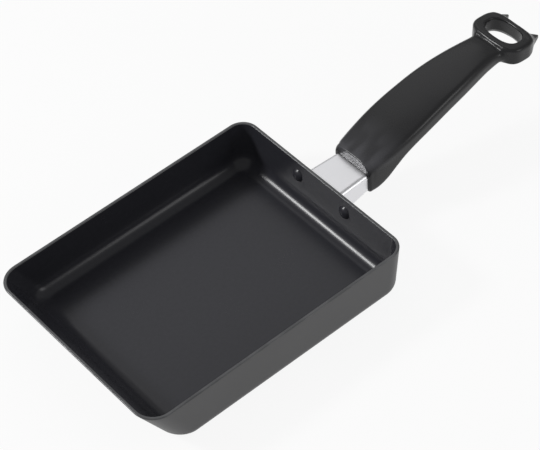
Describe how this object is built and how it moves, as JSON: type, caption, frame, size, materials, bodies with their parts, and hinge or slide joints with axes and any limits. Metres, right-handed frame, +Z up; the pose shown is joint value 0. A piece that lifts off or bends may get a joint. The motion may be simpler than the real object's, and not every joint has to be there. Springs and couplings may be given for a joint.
{
  "type": "tamagoyaki pan",
  "caption": "Rectangular rolled-omelette pan with one sloped wall, a riveted steel bracket and a curved black grip that ends in a hanging eye.",
  "frame": {"origin": "on the flat base, under the middle of the rim", "axes": "+X runs from the middle of the rim towards the handle, +Z is up, and +Y completes the right-handed frame; the sloped wall faces -X"},
  "size_m": [0.3365, 0.14, 0.0558],
  "materials": {
    "pan_body": "charcoal non-stick coating inside, dark satin outside",
    "bracket": "polished stainless sheet",
    "rivets": "dark coated",
    "grip": "satin black phenolic moulding",
    "fixings": "zinc plated"
  },
  "bodies": {
    "root": {"pan_body": "pan_body", "handle_bracket": "bracket", "rivet_left": "rivets", "rivet_right": "rivets", "grip": "grip", "weld_nut": "fixings", "grip_screw": "fixings", "spring_washer": "fixings"}
  },
  "joints": []
}
